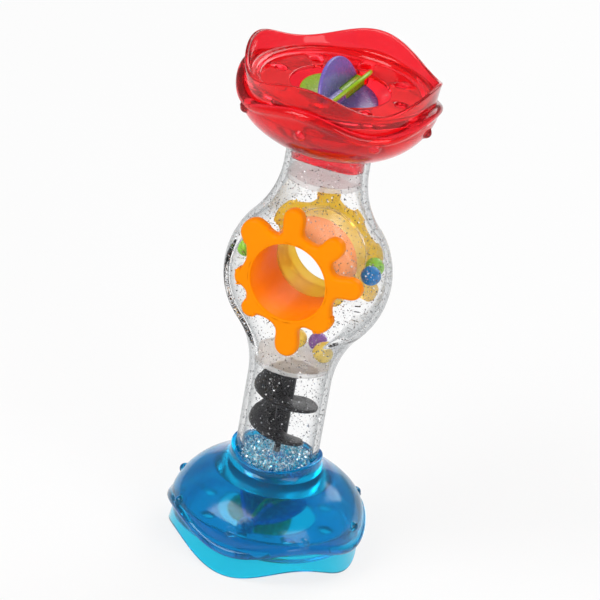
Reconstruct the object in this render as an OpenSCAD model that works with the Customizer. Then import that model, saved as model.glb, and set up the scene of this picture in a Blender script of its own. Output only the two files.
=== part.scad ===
// Sand and water wheel rattle: two wave-rimmed bowls on a clear flask with a gear tunnel, balls and a spiral

/* [Overall] */
// Height from the lowest wave crests of the base to the highest of the top bowl
toy_h = 262.4; // [240:0.2:300]

/* [Bowls] */
// Radius over the rounded bead round each bowl
bead_r = 50; // [42:0.1:58]
// Radius of the bead's own round edge
bead_round = 2.6; // [2:0.1:3]
// Set-back of the dome from the bead
dome_set = 1.4; // [0.8:0.1:2]
// Depth of the dome, from the bead to the pole of its curve
dome_h = 29.5; // [26:0.1:34]
// Wall thickness of the dome
bowl_wall = 2.2; // [1.8:0.1:2.6]
// Height of the mean rim over the bead
skirt_h = 13.4; // [12:0.1:18]
// Height of the rim's waves, from the mean
rim_wave = 4; // [2:0.1:5]
// Height of the bead's waves, from the mean
bead_wave = 3.5; // [2:0.1:4]
// Set-back of the skirt's rim from the bead
skirt_set = 2.3; // [1:0.1:2.8]
// Wall thickness of the skirt
skirt_wall = 2; // [1.6:0.1:2.4]
// Radius of a bump on the dome
bump_r = 2.8; // [1.5:0.1:3.5]
// Distance of the bumps' ring below the bead
bump_drop = 6.7; // [6:0.1:12]
// Depth of the ledge inside the bowl that the strainer stands on, below the bead
seat_drop = 5; // [4.6:0.1:5.4]
// Wall thickness of the collars that join the bowls to the flask
collar_wall = 2.2; // [1.6:0.1:3]
// Depth to which the blue collar overlaps the tube at front and back
collar_lap = 7.5; // [6:0.1:10]
// Depth to which the red plug reaches into the neck at its sides
plug_lap = 10.5; // [8:0.1:12]
// How much shorter the collar is at front and back than at its sides
collar_dip = 4; // [1:0.1:5]

/* [Strainers] */
// Height of the strainer's floor over the bead
floor_rise = 3.6; // [3:0.1:5]
// Thickness of the strainer's floor
floor_t = 2; // [1.5:0.1:2.5]
// Width of the ledge between the strainer's wall and its floor
floor_set = 5; // [4:0.1:6]
// Height of the ledge round the floor
ledge_h = 2; // [1:0.1:2.4]
// Wheel opening's radius, as a share of the floor's
opening_share = 0.625; // [0.6:0.005:0.64]
// Drain hole's diameter, as a share of the floor's width round the opening
drain_share = 0.42; // [0.2:0.01:0.44]
// Place of the drain holes, as a share of that width
drain_place_share = 0.47; // [0.45:0.01:0.55]
// Number of drain holes
drain_n = 8; // [4:4:12]

/* [Paddle wheels] */
// Reach of the petals, as a share of the dome's depth
petal_share = 0.644; // [0.5:0.001:0.65]
// Gap between a petal's ends and the edge of the opening
petal_gap = 1.3; // [1:0.1:4]
// Thickness of a petal
petal_t = 2; // [1.2:0.1:2.6]
// Depth of the axle below the strainer's floor
axle_drop = 5.5; // [5:0.1:6]
// Diameter of the axle
axle_d = 4; // [3:0.1:4.6]
// Diameter of the hubs
hub_d = 7.6; // [7:0.1:9]
// Angle at which the wheels stand
wheel_turn = -9; // [-60:1:60]

/* [Flask] */
// Outer radius of the tube and the neck
tube_r = 20.7; // [19:0.1:22]
// Wall thickness of the flask
flask_wall = 2.7; // [2:0.1:3]
// Outer radius of the bulb
bulb_r = 41.2; // [36:0.1:46]
// Height of the bulb's middle, as a share of the flask's length
bulb_share = 0.6073; // [0.58:0.0001:0.62]
// Distance from the bulb's middle to the end of each shoulder, as a share of that length
reach_share = 0.3255; // [0.3:0.0001:0.34]
// Radius of the bulb's crown arc, as a share of that distance
crown_share = 0.69; // [0.64:0.01:0.74]
// Stand of the flat front and back over the tube
face_set = 0.8; // [0.7:0.1:2]
// Depth of the ball chamber's floor below the bulb's middle, as a share of the shoulders' reach
floor_share = 0.788; // [0.76:0.001:0.8]
// Depth of the disc in the neck below the end of the upper shoulder
neck_drop = 4.4; // [3:0.1:6]
// Thickness of the chamber's floor and of the other discs
disc_t = 2.6; // [2:0.1:3]

/* [Gears] */
// Radius of the tunnel through both gears, as a share of the bulb's
tunnel_share = 0.4733; // [0.44:0.0001:0.48]
// Thickness of a gear outside the flask
flange_t = 6; // [5:0.1:8]
// Height of the tunnel's axis over the bulb's middle
gear_lift = 4.5; // [2:0.1:6]
// Wall thickness of the gear collars
gear_wall = 2; // [1.7:0.1:2.2]
// Width of the rim round the tunnel at the gullets between the teeth
gullet_stand = 2.4; // [2.2:0.1:4]
// Radius over the longest tooth, as a share of the bulb's
gear_share = 0.944; // [0.9:0.001:1]
// Distance of the seam between the gears behind the tunnel's middle
seam_y = 5.4; // [2:0.1:8]
// Rounding of the gears' edges
gear_round = 2.2; // [1:0.1:2.4]
// Wall thickness of the clear sleeve round the gear collars
sleeve_wall = 2.1; // [1.6:0.1:2.5]
// Thickness of the shelves on the sleeve
shelf_t = 3; // [2:0.1:4]
// Depth of the shelves' top below the tunnel's axis
shelf_drop = 1.5; // [0:0.1:4]

/* [Spiral] */
// Gap between the spiral's flight and the tube's inside
spiral_gap = 1.4; // [1.2:0.1:5]
// Rise of the flight in one turn
spiral_pitch = 18.5; // [14:0.1:19]
// Thickness of the flight
spiral_t = 2; // [1.2:0.1:3]
// Diameter of the spiral's shaft
shaft_d = 7.4; // [5:0.1:8]
// Diameter of the spiral's pivot pins
pin_d = 3.2; // [2:0.1:4]
// Length of the lower pin that shows below the shaft
pin_neck = 5; // [3:0.1:6]

/* [Balls] */
// Diameter of a loose ball, as a share of the room between the sleeve and the bulb's inside
ball_share = 0.648; // [0.5:0.001:0.65]

/* [Hidden] */

// Clearances, and the overrun of every cut
fit = 0.05;
run_fit = 0.08;
gap = 0.3;
over = 1;

// Counts of steps round curves
wave_n = 4;
ring_n = 48;
dome_n = 6;
dome_in_n = 4;
arc_n = 8;
bump_n = 8;
petal_n = 3;
petal_steps = 20;
turn_steps = 24;
$fn = 64;

red = [0.90, 0.06, 0.10];
blue = [0.02, 0.33, 0.66];
clear = [0.86, 0.90, 0.92, 0.35];
green = [0.58, 0.78, 0.05];
purple = [0.47, 0.46, 0.78];

// Places on a bowl, measured from the bead's middle towards the rim
rim_crest = skirt_h + rim_wave;
blue_bead_z = rim_crest;
red_bead_z = toy_h - rim_crest;
axle_rise = floor_rise - axle_drop;
ledge_rise = floor_rise + ledge_h;
dome_r = bead_r - dome_set;
skirt_r = bead_r - skirt_set;
lip_r = bead_r - bead_round - bowl_wall / 2;
tray_r = lip_r - 2 * fit;
tray_in_r = tray_r - skirt_wall;
floor_r = tray_in_r - floor_set;
opening_r = opening_share * floor_r;
drain_d = drain_share * (floor_r - opening_r);
drain_ring_r = opening_r + drain_place_share * (floor_r - opening_r);
petal_r = petal_share * dome_h;
dome_in_r = dome_r - bowl_wall;
dome_in_h = dome_h - bowl_wall;
collar_r = tube_r + fit + collar_wall;
foot_r = collar_r + bowl_wall / 2;
foot_angle = acos(foot_r / dome_r);
foot_rise = -dome_h * sin(foot_angle);
plug_r = tube_r - flask_wall - fit;
well_rise = axle_rise - petal_r - gap;
well_t = disc_t;
socket_rise = well_rise - well_t;

// Flask heights and the arcs of its shoulders
tube_foot_z = blue_bead_z - socket_rise;
neck_top_z = red_bead_z + foot_rise;
flask_len = neck_top_z - tube_foot_z;
bulb_z = tube_foot_z + bulb_share * flask_len;
bulb_reach = reach_share * flask_len;
crown_r = crown_share * bulb_reach;
shoulder_angle = 2 * atan((bulb_r - tube_r) / bulb_reach);
hollow_r = bulb_reach / sin(shoulder_angle) - crown_r;
face_y = tube_r + face_set;
flask_depth = 2 * face_y;
inner_face_y = face_y - flask_wall;
chamber_floor_z = bulb_z - floor_share * bulb_reach;
neck_disc_z = bulb_z + bulb_reach - neck_drop;

// Gear pair
tunnel_r = tunnel_share * bulb_r;
gear_r = gear_share * bulb_r;
gear_z = bulb_z + gear_lift;
collar_out_r = tunnel_r + gear_wall;
gullet_r = collar_out_r + gullet_stand;
sleeve_in_r = collar_out_r + run_fit;
sleeve_out_r = sleeve_in_r + sleeve_wall;
flange_y = face_y + gap;
gear_front_y = flange_y + flange_t;
lap_len = 3;

// Teeth of either gear, seen from its own front: angle, then reach, half width and squareness as shares
front_teeth_shares = [[11, 0.97, 0.14, 0.71], [51, 0.93, 0.135, 0.71], [95, 0.967, 0.135, 0.71],
    [138, 0.915, 0.2, 0.71], [192, 0.73, 0.115, 0.71], [229, 0.79, 0.125, 0.71], [277, 1, 0.15, 0.71],
    [321, 0.77, 0.165, 0.71]];
rear_teeth_shares = [[25, 0.88, 0.2, 0.71], [81, 0.79, 0.145, 0.9], [123, 0.72, 0.1, 0.71],
    [168, 0.8, 0.13, 0.71], [212, 0.9, 0.13, 0.71], [252, 0.78, 0.12, 0.71], [292, 0.92, 0.14, 0.71],
    [332, 0.8, 0.13, 0.71]];

// Spiral
spiral_r = tube_r - flask_wall - spiral_gap;
shaft_r = shaft_d / 2;
pin_r = pin_d / 2;
boss_h = 9.5;
upper_boss_h = 2.5;
pin_depth = 3;
boss_wall = 2.2;
plug_top_z = tube_foot_z + disc_t;
lower_boss_z = plug_top_z + boss_h;
shaft_foot_z = lower_boss_z + pin_neck;
upper_boss_z = chamber_floor_z - disc_t - upper_boss_h;
shaft_top_z = upper_boss_z - gap;
flight_foot_z = shaft_foot_z + spiral_t;
flight_h = shaft_top_z - flight_foot_z - spiral_t;

// Balls
ball_d = ball_share * (bulb_r - flask_wall - sleeve_out_r);
ball_r = ball_d / 2;
ball_hop = 3;
shelf_z = gear_z - shelf_drop;
shelf_ball_z = shelf_z + ball_r + run_fit;
floor_ball_z = chamber_floor_z + ball_r + run_fit;
lane_in_r = sleeve_out_r + ball_r + gap;
lane_out_r = bulb_r - crown_r + sqrt(pow(crown_r - flask_wall - ball_r - gap, 2)
    - pow(shelf_ball_z + ball_hop - bulb_z, 2));
lane_share = 0.9;

// Places of the balls in ball diameters: along the shelves, and on the chamber's floor
shelf_ball_shares = [0, 1.08, -1.08, 1.2, 0.1];
floor_ball_shares = [[-0.26, 0.99], [1.42, 0.46], [0.75, 1.34]];

// A closed profile of [radius, height, wave] swung round the axis, its heights waved by the angle
module waved_ring(profile) {
    m = len(profile);
    points = [for (i = [0 : ring_n - 1], p = profile)
        let (a = 360 * i / ring_n) [p[0] * cos(a), p[0] * sin(a), p[1] + p[2] * cos(wave_n * a)]];
    faces = [for (i = [0 : ring_n - 1], j = [0 : m - 1])
        let (k = (i + 1) % ring_n, l = (j + 1) % m)
        each [[i * m + j, i * m + l, k * m + l], [i * m + j, k * m + l, k * m + j]]];
    polyhedron(points, faces, convexity = 10);
}

// Share of the bead's wave that reaches a given angle of the dome
function wave_share(a) = pow(1 - sin(a) / sin(foot_angle), 2);

// Solid cup: a profile from the outside of its foot to its inside, waved, with a pole at either end
module waved_cup(profile) {
    m = len(profile);
    points = concat([for (i = [0 : ring_n - 1], p = profile)
        let (a = 360 * (i + 0.5) / ring_n) [p[0] * cos(a), p[0] * sin(a), p[1] + p[2] * cos(wave_n * a)]],
        [[0, 0, profile[0][1]], [0, 0, profile[m - 1][1]]]);
    walls = [for (i = [0 : ring_n - 1], j = [0 : m - 2])
        let (k = (i + 1) % ring_n)
        each [[i * m + j, i * m + j + 1, k * m + j + 1], [i * m + j, k * m + j + 1, k * m + j]]];
    ends = [for (i = [0 : ring_n - 1])
        let (k = (i + 1) % ring_n)
        each [[i * m, k * m, ring_n * m], [k * m + m - 1, i * m + m - 1, ring_n * m + 1]]];
    polyhedron(points, concat(walls, ends), convexity = 10);
}

// Cup of a bowl on a stem that ends at the given height: dome, bead, lip, strainer seat and well
module bowl_cup(stem_r, end_z) {
    bead_c = bead_r - bead_round;
    seat_angle = asin(seat_drop / dome_in_h);
    well_angle = asin(-well_rise / dome_in_h);
    stem = [[stem_r, end_z, 0], [stem_r, foot_rise, 0]];
    outer = [for (i = [0 : dome_n])
        let (a = foot_angle + (bump_angle / 2 - foot_angle) * i / dome_n)
        [dome_r * cos(a), -dome_h * sin(a), bead_wave * wave_share(a)]];
    bead = [for (a = [-30 : 30 : 90]) [bead_c + bead_round * cos(a), bead_round * sin(a), bead_wave]];
    lip = [[lip_r, bead_round, bead_wave], [lip_r, -seat_drop, 0]];
    inner = [for (i = [0 : dome_in_n])
        let (a = seat_angle + (well_angle - seat_angle) * i / dome_in_n)
        [dome_in_r * cos(a), -dome_in_h * sin(a), 0]];
    waved_cup(concat(stem, outer, bead, lip, inner));
}
bump_angle = asin(bump_drop / dome_h);

// Bumps on the dome, kept out of the bowl's inside
module bumps() {
    hollow_r = dome_in_r + bowl_wall / 4;
    hollow_h = dome_in_h + bowl_wall / 4;
    difference() {
        for (i = [0 : bump_n - 1])
            rotate([0, 0, 360 * i / bump_n])
                translate([dome_r * cos(bump_angle) - bump_r / 4, 0, -bump_drop])
                    sphere(r = bump_r, $fn = 12);
        resize([2 * hollow_r, 2 * hollow_r, 2 * hollow_h])
            sphere(r = hollow_r, $fn = ring_n);
        translate([0, 0, -seat_drop])
            cylinder(r = lip_r + bowl_wall / 8, h = seat_drop, $fn = ring_n);
    }
}

// Cup and bumps as one moulding, brought out to the bead's full width
module moulded_cup(stem_r, end_z) {
    resize([2 * bead_r, 2 * bead_r, 0]) {
        bowl_cup(stem_r, end_z);
        bumps();
    }
}

// Saddle that dips a collar's end at front and back, from its height at the sides
module saddle(end_z, radius) {
    saddle_r = (radius * radius + collar_dip * collar_dip) / (2 * collar_dip);
    translate([0, 0, end_z - saddle_r + collar_dip])
        rotate([90, 0, 0])
            cylinder(r = saddle_r, h = 4 * radius, center = true, $fn = 128);
}

// Bowl under construction at its bead, rim upwards
module blue_form() {
    end_z = socket_rise - collar_lap - collar_dip;
    difference() {
        moulded_cup(collar_r, end_z);
        translate([0, 0, end_z - over])
            cylinder(r = tube_r + fit, h = socket_rise - end_z + over);
        saddle(end_z, collar_r + over);
    }
}

module red_form() {
    end_z = foot_rise - plug_lap;
    difference() {
        moulded_cup(plug_r, end_z);
        translate([0, 0, end_z - over])
            cylinder(r = plug_r - collar_wall, h = socket_rise - end_z + over);
        saddle(end_z, plug_r + over);
    }
}

// Tray with the wavy skirt, the drained floor, the wheel opening and the axle's bearings
module strainer_form() {
    rim_round = skirt_wall / 3;
    profile = [[tray_r, -seat_drop, 0], [tray_r, bead_round / 2, bead_wave],
        [(tray_r + skirt_r) / 2, skirt_h / 2 + bead_round, (bead_wave + rim_wave) / 2],
        [skirt_r, skirt_h - rim_round, rim_wave], [skirt_r - rim_round, skirt_h, rim_wave],
        [skirt_r - 2 * rim_round, skirt_h, rim_wave],
        [skirt_r - skirt_wall, skirt_h - rim_round, rim_wave],
        [tray_in_r + rim_round / 2, ledge_rise + ledge_h, rim_wave / 3],
        [tray_in_r - rim_round, ledge_rise, 0], [floor_r + ledge_h, ledge_rise, 0],
        [floor_r + ledge_h / 2, ledge_rise - ledge_h / 4, 0], [floor_r, floor_rise, 0],
        [opening_r - over, floor_rise, 0], [opening_r - over, floor_rise - floor_t, 0],
        [tray_in_r, floor_rise - floor_t, 0], [tray_in_r, -seat_drop, 0]];
    difference() {
        union() {
            waved_ring(profile);
            for (s = [-1, 1])
                translate([0, s * bearing_y, 0])
                    bearing();
        }
        translate([0, 0, floor_rise - floor_t - over])
            cylinder(r = opening_r, h = floor_t + 2 * over);
        for (i = [0 : drain_n - 1])
            rotate([0, 0, 360 * i / drain_n])
                translate([drain_ring_r, 0, floor_rise - floor_t - over])
                    cylinder(d = drain_d, h = floor_t + 2 * over, $fn = 32);
        translate([0, 0, axle_rise])
            rotate([90, 0, 0])
                cylinder(d = axle_d + 2 * fit, h = 2 * axle_end_y, center = true, $fn = 32);
    }
}
bearing_t = 2.8;
bearing_y = opening_r + gap + bearing_t / 2;
axle_end_y = opening_r + gap + bearing_t - run_fit;

// Block under the strainer's floor that holds one end of the axle
module bearing() {
    bearing_w = axle_d + 2 * boss_wall;
    translate([-bearing_w / 2, -bearing_t / 2, axle_rise])
        cube([bearing_w, bearing_t, axle_drop - floor_t / 2]);
    translate([0, 0, axle_rise])
        rotate([90, 0, 0])
            cylinder(d = bearing_w, h = bearing_t, center = true, $fn = 32);
}

// Axle pressed into the strainer's bearings
module axle_form() {
    translate([0, 0, axle_rise])
        rotate([90, 0, 0])
            cylinder(d = axle_d, h = 2 * (axle_end_y - fit), center = true, $fn = 32);
}

// One moulding of a wheel: three petals on a half-length hub, on the side given by s
module wheel_form(s, turn) {
    hub_r = hub_d / 2;
    hub_len = opening_r - gap - over;
    root_r = hub_r - boss_wall / 2;
    skip_r = hub_r + run_fit;
    half_w = opening_r - petal_gap;
    start = asin(skip_r / petal_r);
    arc = [for (i = [0 : petal_steps])
        let (a = start + (180 - 2 * start) * i / petal_steps)
        [s * half_w * cos(a), petal_r * sin(a)]];
    far_y = half_w * cos(start);
    outline = concat(arc, [[0, skip_r], [0, root_r], [s * far_y, root_r]]);
    translate([0, 0, axle_rise])
        difference() {
            union() {
                rotate([-90 * s, 0, 0])
                    translate([0, 0, fit])
                        cylinder(d = hub_d, h = hub_len, $fn = 48);
                for (i = [0 : petal_n - 1])
                    rotate([0, -turn - 360 * i / petal_n, 0])
                        rotate([0, 90, 0])
                            rotate([0, 0, 90])
                                rotate([90, 0, 0])
                                    translate([0, 0, -petal_t / 2])
                                        linear_extrude(petal_t)
                                            polygon([for (p = outline) [p[0], -p[1]]]);
            }
            rotate([90, 0, 0])
                cylinder(d = axle_d + 2 * run_fit, h = 2 * opening_r, center = true, $fn = 48);
        }
}

// Places of the two bowls
module red_place() {
    translate([0, 0, red_bead_z])
        children();
}

module blue_place() {
    translate([0, 0, blue_bead_z])
        mirror([0, 0, 1])
            children();
}

// Half outline of the flask, set in from its outside
function flask_arc(inset, sense) = [for (i = [0 : arc_n])
    let (a = shoulder_angle * i / arc_n)
    [tube_r - inset + (hollow_r + inset) * (1 - cos(a)),
        bulb_z + sense * (bulb_reach - (hollow_r + inset) * sin(a))]];

function crown_arc(inset) = [for (i = [1 : 2 * arc_n - 1])
    let (a = shoulder_angle * (i / arc_n - 1))
    [bulb_r - crown_r + (crown_r - inset) * cos(a), bulb_z + (crown_r - inset) * sin(a)]];

function reversed(list) = [for (i = [len(list) - 1 : -1 : 0]) list[i]];

// Round flask with flat front and back, set in all over
module flask_solid(inset, foot_z, top_z) {
    intersection() {
        rotate_extrude($fn = 128)
            polygon(concat([[0, foot_z], [tube_r - inset, foot_z]], flask_arc(inset, -1),
                crown_arc(inset), reversed(flask_arc(inset, 1)), [[tube_r - inset, top_z], [0, top_z]]));
        translate([-bulb_r, inset - face_y, foot_z - over])
            cube([2 * bulb_r, flask_depth - 2 * inset, top_z - foot_z + 2 * over]);
    }
}

// Half of the clear flask on the side given by s
module shell(s) {
    color(clear)
        difference() {
            flask_solid(0, tube_foot_z, neck_top_z);
            flask_solid(flask_wall, tube_foot_z - over, neck_top_z + over);
            translate([-bulb_r - over, s > 0 ? -flask_depth : 0, tube_foot_z - over])
                cube([2 * (bulb_r + over), flask_depth, toy_h]);
            translate([0, 0, gear_z])
                rotate([90, 0, 0])
                    cylinder(r = sleeve_in_r, h = 2 * flask_depth, center = true, $fn = 96);
        }
}

// Sleeve round the gear collars, with a shelf for balls on either side
module tunnel_sleeve() {
    color(clear)
        difference() {
            union() {
                translate([0, 0, gear_z])
                    rotate([90, 0, 0])
                        cylinder(r = sleeve_out_r, h = 2 * inner_face_y, center = true, $fn = 96);
                intersection() {
                    flask_solid(flask_wall + fit, tube_foot_z, neck_top_z);
                    translate([-bulb_r, -face_y, shelf_z - shelf_t])
                        cube([2 * bulb_r, flask_depth, shelf_t]);
                }
            }
            translate([0, 0, gear_z])
                rotate([90, 0, 0])
                    cylinder(r = sleeve_in_r, h = flask_depth, center = true, $fn = 96);
        }
}

// Disc that fills the flask's inside below the given height
module flask_disc(top_z) {
    intersection() {
        flask_solid(flask_wall + fit, tube_foot_z, neck_top_z);
        translate([0, 0, top_z - disc_t])
            cylinder(r = bulb_r, h = disc_t);
    }
}

// Floor of the ball chamber, with the spiral's upper bearing below it
module chamber_floor() {
    color(clear)
        difference() {
            union() {
                flask_disc(chamber_floor_z);
                translate([0, 0, upper_boss_z])
                    cylinder(r = pin_r + boss_wall, h = upper_boss_h + disc_t / 2);
            }
            translate([0, 0, upper_boss_z - over])
                cylinder(r = pin_r + run_fit, h = pin_depth + gap + over);
        }
}

// Disc between the ball chamber and the red bowl's plug
module neck_disc() {
    color(clear)
        flask_disc(neck_disc_z);
}

// Plug at the foot of the tube, with the spiral's lower bearing
module tube_plug() {
    color(clear)
        difference() {
            union() {
                translate([0, 0, tube_foot_z])
                    cylinder(r = plug_r, h = disc_t);
                translate([0, 0, tube_foot_z])
                    cylinder(r = pin_r + boss_wall, h = disc_t + boss_h);
            }
            translate([0, 0, lower_boss_z - pin_depth - run_fit])
                cylinder(r = pin_r + run_fit, h = pin_depth + run_fit + over);
        }
}

// Left-handed flight, rounded off at both ends
module flight() {
    n = round(turn_steps * flight_h / spiral_pitch);
    root = shaft_r / 2;
    points = [for (i = [0 : n])
        let (share = i / n, a = -360 * flight_h / spiral_pitch * share, z = flight_foot_z + flight_h * share,
            end_share = min(1, share * n / 4 + 0.25, (1 - share) * n / 4 + 0.25),
            r = shaft_r + (spiral_r - shaft_r) * sqrt(1 - pow(1 - end_share, 2)))
        each [[root * cos(a), root * sin(a), z - spiral_t / 2], [r * cos(a), r * sin(a), z - spiral_t / 2],
            [r * cos(a), r * sin(a), z + spiral_t / 2], [root * cos(a), root * sin(a), z + spiral_t / 2]]];
    sides = [for (i = [0 : n - 1], j = [0 : 3])
        let (k = (j + 1) % 4)
        each [[4 * i + j, 4 * i + 4 + k, 4 * i + k], [4 * i + j, 4 * i + 4 + j, 4 * i + 4 + k]]];
    ends = [[0, 1, 2], [0, 2, 3], [4 * n, 4 * n + 2, 4 * n + 1], [4 * n, 4 * n + 3, 4 * n + 2]];
    polyhedron(points, concat(sides, ends), convexity = 10);
}

// Black spiral on its shaft, with a pivot pin at either end
module spiral() {
    color([0.08, 0.08, 0.09]) {
        flight();
        translate([0, 0, shaft_foot_z])
            cylinder(r = shaft_r, h = shaft_top_z - shaft_foot_z);
        translate([0, 0, lower_boss_z - pin_depth])
            cylinder(r = pin_r, h = pin_depth + pin_neck + spiral_t, $fn = 32);
        translate([0, 0, shaft_top_z - spiral_t])
            cylinder(r = pin_r, h = spiral_t + gap + pin_depth, $fn = 32);
    }
}

// Point on a smooth curve through four neighbours
function smooth_point(p, q, r, s, t) = q + t / 2 * ((r - p)
    + t * ((2 * p - 5 * q + 4 * r - s) + t * (3 * (q - r) + s - p)));

function around(list, i) = list[(i + len(list)) % len(list)];

// Half angle that a tooth takes up at its foot
function foot_half_angle(width) = atan(width / (gullet_r + width / 4));

// Guide points of one tooth: gullet, flank, round tip, flank
function tooth_guide(a, before, reach, width, square) =
    let (foot = gullet_r + width / 4, tip = max(reach - width, foot + width / 8),
        cap = square * (reach - tip), mid = (a - foot_half_angle(width) + before) / 2)
    concat([gullet_r * [cos(mid), sin(mid)]],
        [for (p = [[foot, -width], [tip, -width], [tip + cap, -square * width], [reach, 0],
            [tip + cap, square * width], [tip, width], [foot, width]])
            [p[0] * cos(a) - p[1] * sin(a), p[0] * sin(a) + p[1] * cos(a)]]);

// Outline of a gear with teeth of many lengths
function gear_outline(teeth) =
    let (guide = [for (i = [0 : len(teeth) - 1])
            let (t = teeth[i], last = around(teeth, i - 1), before = last[0] - (i == 0 ? 360 : 0)
                + foot_half_angle(gear_r * last[2]))
            each tooth_guide(t[0], before, gear_r * t[1], gear_r * t[2], t[3])])
    [for (i = [0 : len(guide) - 1], t = [0, 0.5])
        smooth_point(around(guide, i - 1), guide[i], around(guide, i + 1), around(guide, i + 2), t)];

// Outline moved inwards along its normals
function inset_outline(outline, inset) = [for (i = [0 : len(outline) - 1])
    let (d = around(outline, i + 1) - around(outline, i - 1), u = d / norm(d))
    outline[i] + inset * [-u[1], u[0]]];

// Triangles over one face of the flange: a strip up each tooth, and a fan from the feet to the middle, -1
function flange_cap(m, teeth_n) =
    let (step = m / teeth_n, foot = step / 8)
    [for (b = [0 : step : m - 1])
        each concat([for (k = [foot : step / 2 - 2])
            each [[b + k, b + k + 1, b + step - k - 1], [b + k, b + step - k - 1, b + step - k]]],
            [[b + step / 2 - 1, b + step / 2, b + step / 2 + 1]],
            [for (k = [0 : foot - 1])
                each [[b + k, b + k + 1, -1], [b + step - k - 1, (b + step - k) % m, -1]]],
            [[b + foot, b + step - foot, -1]])];

// Flange with rounded edges, lying on z = 0
module toothed_flange(teeth, thick) {
    outline = gear_outline(teeth);
    m = len(outline);
    layers = [for (a = [60 : -30 : 0]) [gear_round / 2 * (1 - cos(a)), gear_round / 2 * (1 - sin(a))],
        for (a = [0 : 30 : 60]) [gear_round * (1 - cos(a)), thick - gear_round * (1 - sin(a))],
        [gear_round, thick]];
    n = len(layers);
    points = concat([for (l = layers, p = inset_outline(outline, l[0])) [p[0], p[1], l[1]]],
        [[0, 0, layers[0][1]], [0, 0, thick]]);
    sides = [for (i = [0 : n - 2], j = [0 : m - 1])
        let (k = (j + 1) % m)
        each [[i * m + j, (i + 1) * m + k, i * m + k], [i * m + j, (i + 1) * m + j, (i + 1) * m + k]]];
    caps = [for (t = flange_cap(m, len(teeth)))
        each [[for (v = t) v < 0 ? n * m : v], [for (v = reversed(t)) v < 0 ? n * m + 1 : (n - 1) * m + v]]];
    polyhedron(points, concat(sides, caps), convexity = 10);
}

// Gear with its collar, along +z from the collar's end; outer_lap says which half of the lap it has
module gear_form(teeth, reach_in, outer_lap) {
    lap_r = tunnel_r + gear_wall / 2;
    difference() {
        union() {
            translate([0, 0, flange_y])
                toothed_flange(teeth, flange_t);
            translate([0, 0, reach_in])
                cylinder(r = collar_out_r, h = flange_y + flange_t / 2 - reach_in, $fn = 96);
            if (outer_lap)
                translate([0, 0, reach_in - lap_len])
                    cylinder(r = collar_out_r, h = lap_len + over, $fn = 96);
        }
        translate([0, 0, -gear_front_y])
            cylinder(r = tunnel_r, h = 2 * gear_front_y + over, $fn = 96);
        translate([0, 0, gear_front_y - gear_round / 2 - over])
            cylinder(r1 = tunnel_r - over, r2 = tunnel_r + gear_round / 2 + over,
                h = gear_round / 2 + 2 * over, $fn = 96);
        if (outer_lap)
            translate([0, 0, reach_in - lap_len - over])
                cylinder(r = lap_r + fit, h = lap_len + over, $fn = 96);
        else
            translate([0, 0, reach_in - over])
                difference() {
                    cylinder(r = collar_out_r + over, h = lap_len + over, $fn = 96);
                    translate([0, 0, -over])
                        cylinder(r = lap_r - fit, h = lap_len + 3 * over, $fn = 96);
                }
    }
}

module front_gear() {
    color([1, 0.56, 0])
        translate([0, 0, gear_z])
            rotate([90, 0, 0])
                gear_form(front_teeth_shares, -seam_y, true);
}

module rear_gear() {
    color([0.96, 0.76, 0.16])
        translate([0, 0, gear_z])
            rotate([90, 0, 180])
                gear_form(rear_teeth_shares, seam_y, false);
}

// Loose ball
module ball(tint, place) {
    color(tint)
        translate(place)
            sphere(d = ball_d, $fn = 48);
}

// Ball on the shelf at the side given by s, and its place along it
module shelf_ball(tint, s, place_share) {
    y = place_share * ball_d;
    x = lane_in_r + lane_share * (sqrt(lane_out_r * lane_out_r - y * y) - lane_in_r);
    ball(tint, [s * x, y, shelf_ball_z]);
}

// Ball on the chamber's floor
module floor_ball(tint, place_shares) {
    ball(tint, [place_shares[0] * ball_d, place_shares[1] * ball_d, floor_ball_z]);
}

color(blue) blue_place() blue_form();  // blue_bowl
color(blue) blue_place() strainer_form();  // blue_strainer
color("silver") blue_place() axle_form();  // blue_axle
color(green) blue_place() wheel_form(1, wheel_turn);  // blue_wheel_green
color(purple)  // blue_wheel_purple
    blue_place() wheel_form(-1, wheel_turn + 180 / petal_n);
color(red) red_place() red_form();  // red_bowl
color(red) red_place() strainer_form();  // red_strainer
color("silver") red_place() axle_form();  // red_axle
color(green) red_place() wheel_form(1, wheel_turn);  // red_wheel_green
color(purple)  // red_wheel_purple
    red_place() wheel_form(-1, wheel_turn + 180 / petal_n);
shell(-1);  // front_shell
shell(1);  // rear_shell
tunnel_sleeve();
chamber_floor();
neck_disc();
tube_plug();
spiral();
front_gear();
rear_gear();
shelf_ball(red, -1, shelf_ball_shares[0]);  // ball_red
shelf_ball("hotpink", -1, shelf_ball_shares[1]);  // ball_pink
shelf_ball(green, -1, shelf_ball_shares[2]);  // ball_green_left
shelf_ball(green, 1, shelf_ball_shares[3]);  // ball_green_right
shelf_ball(blue, 1, shelf_ball_shares[4]);  // ball_blue
floor_ball("gold", floor_ball_shares[0]);  // ball_yellow_front
floor_ball("gold", floor_ball_shares[1]);  // ball_yellow_side
floor_ball(purple, floor_ball_shares[2]);  // ball_purple
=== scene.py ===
import math

import bmesh
import bpy
import numpy as np
from mathutils import Matrix, Vector
from mathutils.geometry import delaunay_2d_cdt


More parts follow.
